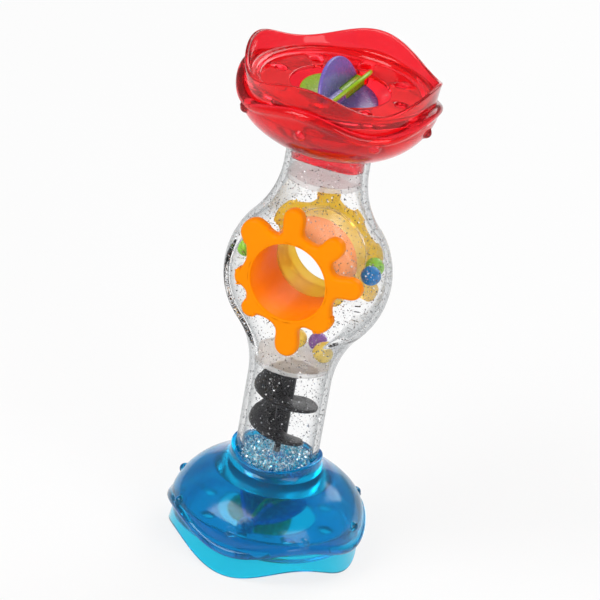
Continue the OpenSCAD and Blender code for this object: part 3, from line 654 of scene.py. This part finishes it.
def makeWheel(bowlTone, tone, side, turn):
    # a turn of 0 points a petal to -X, and more turns it towards the bowl's foot
    w = wheel
    fan = ringOf(bowlTone + "Wheel" + tone.title(), petalShape(side, tone), w["petals"], (0.0, -1.0, 0.0),
                 math.radians(turn), finishes[tone])
    path = softPath([(w["bore"], w["hubGap"], 0), (w["hubR"], w["hubGap"], w["seamRound"]),
                     (w["hubR"], w["hubLen"], w["endRound"]), (w["bore"], w["hubLen"], w["boreRound"]),
                     (w["bore"], w["hubLen"] / 2, 0)], w["cornerSteps"])
    hub = loopSkin("hub", turnedY([(r, side * y) for r, y in path], w["hubSteps"]), finishes[tone], closed=True)
    joinInto(fan, hub)
    putInBowl(fan, bowlTone, strainer["axleRise"])
    return fan


for bowlTone in ("red", "blue"):
    for tone, side, turn in wheel["mouldings"]:
        seat(makeWheel(bowlTone, tone, side, turn), bowlTone + "_wheel", tone + "_plastic",
             f"{bowlTone}_wheel_{tone}")
print("paddle wheels made")


# clear flask: a round bottle with flattened front and back, its tunnel cut through

flask = {"tubeR": 20.7, "wall": 2.7, "bulbR": 41.2, "bulbZ": 149.4, "reach": 58.0, "crownR": 40.0, "faceY": 21.5,
         "footZ": 41.25, "topZ": 219.3, "edge": 0.5, "crease": 2.4, "holeR": 21.58, "gearZ": 153.9, "flare": 0.5,
         "flareAngles": (82, 60, 40, 20, 0), "cutWider": 1.5, "cutLonger": 1.0, "steps": 320, "holeSteps": 160,
         "sideSteps": 26, "crownSteps": 52, "tubeSteps": 10, "neckSteps": 4}


def flaskSide(inset):
    f = flask
    turn = 2 * math.atan((f["bulbR"] - f["tubeR"]) / f["reach"])
    hollow = f["reach"] / math.sin(turn) - f["crownR"]
    a = np.linspace(0, turn, f["sideSteps"])
    low = np.column_stack([f["tubeR"] - inset + (hollow + inset) * (1 - np.cos(a)),
                           f["bulbZ"] - f["reach"] + (hollow + inset) * np.sin(a)])
    b = np.linspace(-turn, turn, f["crownSteps"])[1:-1]
    crown = np.column_stack([f["bulbR"] - f["crownR"] + (f["crownR"] - inset) * np.cos(b),
                             f["bulbZ"] + (f["crownR"] - inset) * np.sin(b)])
    high = low[::-1] * [1, -1] + [0, 2 * f["bulbZ"]]
    tube = np.linspace(f["footZ"], low[0, 1], f["tubeSteps"] + 1)[:-1]
    neck = np.linspace(high[-1, 1], f["topZ"], f["neckSteps"] + 1)[1:]
    tube, neck = (np.column_stack([np.full(len(z), f["tubeR"] - inset), z]) for z in (tube, neck))
    return np.vstack([tube, low, crown, high, neck])


def flaskRings(inset, side):
    # a smooth minimum flattens the front and back
    f = flask
    psi = turnSteps(f["steps"])
    limit, k = f["faceY"] - inset, f["crease"]
    rings = []
    for r, z in side:
        y = np.abs(r * np.sin(psi))
        h = np.clip(0.5 + 0.5 * (limit - y) / k, 0, 1)
        flat = np.sign(np.sin(psi)) * np.minimum(limit, y * h + limit * (1 - h) - k * h * (1 - h))
        rings.append(np.column_stack([r * np.cos(psi), flat, np.full(f["steps"], z)]))
    return rings


def tunnelCutter():
    f = flask
    path = [(f["holeR"] + f["flare"] + f["cutWider"], f["faceY"] + f["cutLonger"])]
    path += flaredEnd(f["holeR"], f["faceY"], f["flare"], f["flareAngles"])
    path += [(r, -y) for r, y in path[::-1]]
    return loopSkin("tunnelCutter", turnedY(path, f["holeSteps"], f["gearZ"]), finishes["clear"])


def makeFlask():
    f = flask
    outer, inner = flaskSide(0), flaskSide(f["wall"])
    outer[0, 1] += f["edge"]
    outer[-1, 1] -= f["edge"]
    foot, top = ([[f["tubeR"] - f["edge"], f[end]]] for end in ("footZ", "topZ"))
    rings = flaskRings(0, np.vstack([foot, outer, top])) + flaskRings(f["wall"], inner[::-1])
    return cutAway(loopSkin("clearFlask", rings, finishes["clear"], closed=True), tunnelCutter())


flake = {"across": 1.0, "halfThick": 0.02, "sides": 6}
flecks = {"smallest": 0.4, "largest": 0.95, "perSquareMm": 0.26, "depth": 1.35, "seed": 4, "endClear": 2,
          "flatY": 12, "holeClear": 1}
heap = {"smallest": 0.7, "largest": 1.5, "perSquareMm": 0.42, "seed": 9, "layers": 5, "footZ": 44.4, "topZ": 50.5,
        "innerR": 4.6, "outerR": 17.2, "rows": 7, "steps": 48, "slope": 0.06, "levelR": 10, "swell": 0.8,
        "humps": 2, "humpTwist": 3}


def makeFlake():
    n, half, r = flake["sides"], flake["halfThick"], flake["across"] / 2
    points = [(r * math.cos(a), r * math.sin(a), z) for z in (-half, half) for a in turnSteps(n)]
    faces = [tuple(range(n - 1, -1, -1)), tuple(range(n, 2 * n))]
    faces += [(i, (i + 1) % n, n + (i + 1) % n, n + i) for i in range(n)]
    return makeObject("flake", points, faces, finishes["flecks"])


def strew(name, bed, look, material):
    one = makeFlake()
    made = runTree(name, strewnFlakes,
                   {"Surface": bed, "Flake": one, "Density": look["perSquareMm"] / mm ** 2,
                    "Smallest": look["smallest"], "Largest": look["largest"], "Seed": look["seed"],
                    "Material": material})
    dropSpares(bed, one)
    return made


def strewFlecks():
    # the flecks lie in the middle of the clear wall
    side = flaskSide(flecks["depth"])
    side = side[(side[:, 1] > flask["footZ"] + flecks["endClear"])
                & (side[:, 1] < flask["topZ"] - flecks["endClear"])]
    wall = loopSkin("fleckWall", flaskRings(flecks["depth"], side), finishes["clear"])
    work = bmesh.new()
    work.from_mesh(wall.data)
    clear = (flask["holeR"] + flecks["holeClear"]) * mm
    # the fans that shut its ends go, and so does what lies over the tunnel's mouths
    gone = []
    for face in work.faces:
        at = face.calc_center_median()
        inHole = abs(at.y) > flecks["flatY"] * mm and math.hypot(at.x, at.z - flask["gearZ"] * mm) < clear
        if len(face.verts) == 3 or inHole:
            gone.append(face)
    bmesh.ops.delete(work, geom=gone, context="FACES")
    work.to_mesh(wall.data)
    work.free()
    return strew("glitterFlecks", wall, flecks, finishes["flecks"])


def pileHeap():
    # loose glitter at the foot of the tube, in uneven layers round the bearing
    h = heap
    t = turnSteps(h["steps"])
    layers = []
    for i in range(h["layers"]):
        z = h["footZ"] + (h["topZ"] - h["footZ"]) * i / (h["layers"] - 1)
        rings = [np.column_stack([r * np.cos(t), r * np.sin(t), z + h["slope"] * (r - h["levelR"])
                                  + h["swell"] * np.sin(h["humps"] * t + r / h["humpTwist"] + i)])
                 for r in np.linspace(h["innerR"], h["outerR"], h["rows"])]
        points = np.array(rings).reshape(-1, 3)
        layers.append(makeObject("heapLayer", points, loopFaces(h["rows"], h["steps"]), finishes["heap"]))
    return strew("glitterHeap", joinInto(*layers), h, finishes["heap"])


seat(makeFlask(), "toy_body", "clear_glitter_plastic", "front_shell", "rear_shell")
for make in (strewFlecks, pileHeap):
    glitter = make()
    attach(glitter, "toy_body")
    print(glitter.name, "flakes:", len(glitter.data.polygons) // (flake["sides"] + 2))
for name, node, finish in (("tunnelSleeve", "tunnel_sleeve", "clearInside"),
                           ("chamberFloor", "chamber_floor", "clearDisc"),
                           ("neckDisc", "neck_disc", "clearDisc"), ("tubePlug", "tube_plug", "clearInside")):
    seat(smoothCopy(name, node, finishes[finish]), "toy_body", "clear_plastic", node)
print("flask made")


# gears: teeth of many lengths round a tunnel, with a collar that meets its twin inside the flask

gear = {"tunnelR": 19.5, "length": 55.6, "wall": 2.0, "gulletR": 23.9, "gearR": 38.9, "seamY": 5.4, "round": 2.2,
        "roundSteps": 8, "backRound": 1.1, "backSteps": 6, "mouthRound": 1.3, "flangeY": 21.8, "lap": 3.0,
        "lapFit": 0.05, "lapRound": 0.2, "endRound": 0.3, "cornerSteps": 6, "footLift": 0.25, "leastTip": 0.125,
        "finer": 6,
        # each tooth: angle, then reach, half width and squareness as shares
        "front": [(11, 0.97, 0.14, 0.71), (51, 0.93, 0.135, 0.71), (95, 0.967, 0.135, 0.71),
                  (138, 0.915, 0.2, 0.71), (192, 0.73, 0.115, 0.71), (229, 0.79, 0.125, 0.71),
                  (277, 1, 0.15, 0.71), (321, 0.77, 0.165, 0.71)],
        "rear": [(25, 0.88, 0.2, 0.71), (81, 0.79, 0.145, 0.9), (123, 0.72, 0.1, 0.71), (168, 0.8, 0.13, 0.71),
                 (212, 0.9, 0.13, 0.71), (252, 0.78, 0.12, 0.71), (292, 0.92, 0.14, 0.71), (332, 0.8, 0.13, 0.71)]}


def toothFoot(width):
    return gear["gulletR"] + gear["footLift"] * width


def toothFootAngle(width):
    return math.degrees(math.atan(width / toothFoot(width)))


def gearOutline(teeth):
    # a guide of eight points a tooth, drawn through by a smooth curve
    g = gear
    guide = []
    for i, (a, reachShare, widthShare, square) in enumerate(teeth):
        reach, width = g["gearR"] * reachShare, g["gearR"] * widthShare
        foot = toothFoot(width)
        tip = max(reach - width, foot + g["leastTip"] * width)
        cap = tip + square * (reach - tip)
        before = teeth[i - 1][0] - (360 if i == 0 else 0) + toothFootAngle(g["gearR"] * teeth[i - 1][2])
        mid = math.radians((a - toothFootAngle(width) + before) / 2)
        guide.append((g["gulletR"] * math.cos(mid), g["gulletR"] * math.sin(mid)))
        c, s = math.cos(math.radians(a)), math.sin(math.radians(a))
        for x, y in ((foot, -width), (tip, -width), (cap, -square * width), (reach, 0),
                     (cap, square * width), (tip, width), (foot, width)):
            guide.append((x * c - y * s, x * s + y * c))
    guide = np.array(guide)
    points = []
    for i in range(len(guide)):
        p, q, r, s = (guide[(i + d) % len(guide)] for d in (-1, 0, 1, 2))
        for t in np.arange(g["finer"]) / g["finer"]:
            points.append(q + t / 2 * ((r - p) + t * ((2 * p - 5 * q + 4 * r - s) + t * (3 * (q - r) + s - p))))
    return np.array(points)


def flatBetween(outer, inner):
    # triangles of the flat ring between two loops, and the points that neither loop has
    insideOnly, weld, nearHole = 1, 1e-5, 0.99
    n, m = len(outer), len(inner)
    loops = [(i, (i + 1) % n) for i in range(n)] + [(n + i, n + (i + 1) % m) for i in range(m)]
    given = [Vector((x, y)) for x, y in (*outer, *inner)]
    found, _, triangles, origin, _, _ = delaunay_2d_cdt(given, loops, [], insideOnly, weld)
    hole = min(np.hypot(*np.asarray(inner).T)) * nearHole
    extra = [k for k in range(len(found)) if not origin[k]]
    index = {k: origin[k][0] if origin[k] else n + m + extra.index(k) for k in range(len(found))}
    kept = [t for t in triangles if sum((found[k] for k in t), Vector((0, 0))).length / 3 > hole]
    return [tuple(index[k] for k in t) for t in kept], [tuple(found[k]) for k in extra]


def makeGear(name, teeth, innerEnd, outerLap, material, facing):
    # built lying flat with its front up, then stood on the flask's face
    g = gear
    outline = gearOutline(teeth)
    inward, count = inwardOf(outline), len(outline)
    front, back, collarR = g["length"] / 2, g["flangeY"], g["tunnelR"] + g["wall"]
    lapEnd = innerEnd + (-g["lap"] if outerLap else g["lap"])
    lapR = g["tunnelR"] + g["wall"] / 2 + (g["lapFit"] if outerLap else -g["lapFit"])
    path = softPath([(collarR, back, 0), (collarR, lapEnd, g["lapRound"]), (lapR, lapEnd, g["lapRound"]),
                     (lapR, innerEnd, g["lapRound"]), (g["tunnelR"], innerEnd, g["endRound"]),
                     (g["tunnelR"], front, g["mouthRound"]), (g["tunnelR"] + g["mouthRound"], front, 0)],
                    g["cornerSteps"])
    tunnel = turnedZ(path, count)
    rim = []
    for size, level, way, angles in ((g["round"], front, -1, np.linspace(90, 0, g["roundSteps"])),
                                     (g["backRound"], back, 1, np.linspace(0, 90, g["backSteps"]))):
        for a in np.radians(angles):
            flat = outline + inward * size * (1 - math.cos(a))
            rim.append(np.column_stack([flat, np.full(count, level + way * size * (1 - math.sin(a)))]))
    points = np.concatenate(tunnel + rim)
    faces = loopFaces(len(tunnel), count) + loopFaces(len(rim), count, len(tunnel) * count)
    for ring, hole in ((0, len(tunnel) - 1), (len(rim) - 1, 0)):
        triangles, extra = flatBetween(rim[ring][:, :2], tunnel[hole][:, :2])
        # corners lie on the rim, on the tunnel's edge, or are new
        start = ((len(tunnel) + ring) * count, hole * count, len(points))
        faces += [tuple(start[k // count] + k % count for k in t) for t in triangles]
        points = np.vstack([points] + [[x, y, rim[ring][0, 2]] for x, y in extra])
    x, y, z = points.T
    placed = np.column_stack([x * facing, -z * facing, y + flask["gearZ"]])
    return makeObject(name, placed, faces, material)


seat(makeGear("frontGear", gear["front"], -gear["seamY"], True, finishes["orange"], 1),
     "gear_pair", "orange_plastic", "front_gear")
seat(makeGear("rearGear", gear["rear"], gear["seamY"], False, finishes["yellow"], -1),
     "gear_pair", "yellow_plastic", "rear_gear")
print("gears made")


# black spiral, left-handed, on a shaft with a pin at either end

spiral = {"outerR": 16.6, "pitch": 18.5, "thick": 2.0, "shaftR": 3.7, "pinR": 1.6, "footZ": 58.3, "topZ": 98.3,
          "flightFoot": 60.3, "flightTop": 96.3, "pinFoot": 50.3, "pinTop": 101.6, "stepsPerTurn": 72,
          "edgeSteps": 9, "taper": 6, "taperFrom": 0.2, "innerRows": (0.3, 3), "shaftSteps": 48, "midR": 0.3,
          "pinRound": 0.3, "shaftRound": 0.6, "cornerSteps": 4}


def makeSpiral():
    s = spiral
    height = s["flightTop"] - s["flightFoot"]
    count = round(s["stepsPerTurn"] * height / s["pitch"])
    edge = s["thick"] / 2
    radii = [s["shaftR"] / 2, *[s["shaftR"] + step for step in s["innerRows"]]]
    rows = []
    for i in range(count + 1):
        share = i / count
        a = -math.tau * height / s["pitch"] * share
        near = min(1, *[end * count / s["stepsPerTurn"] * s["taper"] + s["taperFrom"]
                        for end in (share, 1 - share)])
        reach = s["shaftR"] + (s["outerR"] - s["shaftR"]) * math.sqrt(1 - (1 - near) ** 2)
        section = [(r, -edge) for r in radii]
        section += [(reach - edge + edge * math.cos(b), edge * math.sin(b))
                    for b in np.linspace(-math.pi / 2, math.pi / 2, s["edgeSteps"])]
        section += [(r, edge) for r in radii[::-1]]
        z = s["flightFoot"] + height * share
        rows.append([(r * math.cos(a), r * math.sin(a), z + h) for r, h in section])
    flight = loopSkin("spiralScrew", np.array(rows), finishes["black"])
    path = softPath([(s["midR"], s["pinFoot"], 0), (s["pinR"], s["pinFoot"], s["pinRound"]),
                     (s["pinR"], s["footZ"], s["pinRound"]), (s["shaftR"], s["footZ"], s["shaftRound"]),
                     (s["shaftR"], s["topZ"], s["shaftRound"]), (s["pinR"], s["topZ"], s["pinRound"]),
                     (s["pinR"], s["pinTop"], s["pinRound"]), (s["midR"], s["pinTop"], 0)], s["cornerSteps"])
    return joinInto(flight, loopSkin("shaft", turnedZ(path, s["shaftSteps"]), finishes["black"]))


seat(makeSpiral(), "spiral_screw", "black_plastic", "spiral")


# loose balls, each with the fine ridge where its two mould halves met

ball = {"ridge": 0.05, "ridgeHalf": 2.2, "ridgeShare": 0.6, "rows": 48, "lastRow": 88, "steps": 64,
        "lean": 0.7, "leanStep": 1.3, "leanAxis": (0.6, 0.7, 0.4)}
ballNodes = ("ball_red", "ball_pink", "ball_green_left", "ball_green_right", "ball_blue", "ball_yellow_front",
             "ball_yellow_side", "ball_purple")


def makeBall(node, tone, lean):
    b = ball
    low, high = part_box(node)
    middle, radius = (low + high) / 2, (high - low).x / 2 / mm
    rows = np.linspace(-b["lastRow"], b["lastRow"], b["rows"])
    rows = np.sort(np.concatenate([rows, [-b["ridgeHalf"] / 2, 0, b["ridgeHalf"] / 2]]))
    path = []
    for a in np.radians(rows):
        onRidge = abs(math.degrees(a)) < b["ridgeHalf"] * b["ridgeShare"]
        r = radius if onRidge else radius - b["ridge"]
        path.append((r * math.cos(a), r * math.sin(a)))
    turned = np.array(turnedZ(path, b["steps"])) @ np.array(Matrix.Rotation(lean, 3, b["leanAxis"]))
    name = "ball" + "".join(w.title() for w in node.split("_")[1:])
    return loopSkin(name, turned + np.array(middle) / mm, finishes["ball" + tone.title()])


for count, node in enumerate(ballNodes):
    tone = node.split("_")[1]
    seat(makeBall(node, tone, ball["lean"] + ball["leanStep"] * count), "loose_" + node, "ball_" + tone, node)
print("spiral and balls made")


# floor, studio light and camera

studio = {"floorHalf": 8.0, "floorColour": (0.86, 0.86, 0.86, 1), "whiteShare": 0.8, "worldGrey": 0.3,
          "white": (1, 1, 1, 1), "lampAim": (0, 0, 0.13),
          # each lamp: name, place, size and power
          "lamps": [("key", (-0.9, -1.3, 1.7), 1.3, 32), ("fill", (1.5, -0.9, 1.0), 1.2, 15),
                    ("back", (0.3, 1.5, 1.3), 1.2, 16)]}


def seenBy(tree, *rays):
    # one for a ray of these kinds, else nought
    path = addNode(tree, "ShaderNodeLightPath")
    seen = path.outputs[f"Is {rays[0]} Ray"]
    for kind in rays[1:]:
        more = addNode(tree, "ShaderNodeMath", {0: seen, 1: path.outputs[f"Is {kind} Ray"]}, operation="MAXIMUM")
        seen = more.outputs[0]
    return seen


def makeFloor():
    h = studio["floorHalf"] / mm
    mat, tree = newMaterial("paleFloor")[:2]
    tree.nodes.clear()
    seen = seenBy(tree, "Camera", "Glossy", "Transmission")
    share = addNode(tree, "ShaderNodeMath", {0: seen, 1: studio["whiteShare"]}, operation="MULTIPLY")
    pale = addNode(tree, "ShaderNodeBsdfDiffuse", {"Color": studio["floorColour"]})
    white = addNode(tree, "ShaderNodeEmission", {"Color": studio["white"], "Strength": 1.0})
    mix = addNode(tree, "ShaderNodeMixShader", {0: share.outputs[0], 1: pale.outputs[0], 2: white.outputs[0]})
    addNode(tree, "ShaderNodeOutputMaterial", {"Surface": mix.outputs[0]})
    floor = makeObject("floor", [(-h, -h, 0), (h, -h, 0), (h, h, 0), (-h, h, 0)], [(0, 1, 2, 3)], mat)


def lightWorld():
    world = bpy.data.worlds.new("studio")
    scene.world = world
    world.use_nodes = True
    tree = world.node_tree
    tree.nodes.clear()
    seen = seenBy(tree, "Camera", "Transmission")
    soft, white = (addNode(tree, "ShaderNodeBackground", {"Color": studio["white"], "Strength": strength})
                   for strength in (studio["worldGrey"], 1.0))
    mix = addNode(tree, "ShaderNodeMixShader", {0: seen, 1: soft.outputs[0], 2: white.outputs[0]})
    addNode(tree, "ShaderNodeOutputWorld", {"Surface": mix.outputs[0]})


def hangLamps():
    for name, place, size, power in studio["lamps"]:
        data = bpy.data.lights.new(name, "AREA")
        data.shape, data.size, data.energy = "SQUARE", size, power
        lamp = bpy.data.objects.new(name, data)
        scene.collection.objects.link(lamp)
        lamp.location = place
        lamp.rotation_euler = (Vector(studio["lampAim"]) - Vector(place)).to_track_quat("-Z", "Y").to_euler()


view = {"azimuth": 18.882, "elevation": 25.456, "roll": 9.974, "distance": 2.1828,
        "aim": (-0.00142, -0.00049, 0.13366), "lens": 268.73, "sensor": 36.0, "clipEnd": 50}


def setCamera():
    a, e, r = (math.radians(view[k]) for k in ("azimuth", "elevation", "roll"))
    back = Vector((math.sin(a) * math.cos(e), -math.cos(a) * math.cos(e), math.sin(e)))
    side = Vector((math.cos(a), math.sin(a), 0))
    rise = back.cross(side)
    right, up = side * math.cos(r) + rise * math.sin(r), rise * math.cos(r) - side * math.sin(r)
    data = bpy.data.cameras.new("camera")
    data.lens, data.sensor_width, data.clip_end = view["lens"], view["sensor"], view["clipEnd"]
    camera = bpy.data.objects.new("camera", data)
    scene.collection.objects.link(camera)
    place = Matrix((right, up, back)).transposed().to_4x4()
    place.translation = Vector(view["aim"]) + back * view["distance"]
    camera.matrix_world = place
    scene.camera = camera


makeFloor()
lightWorld()
hangLamps()
setCamera()
scene.view_settings.view_transform = "Standard"
print("studio set")
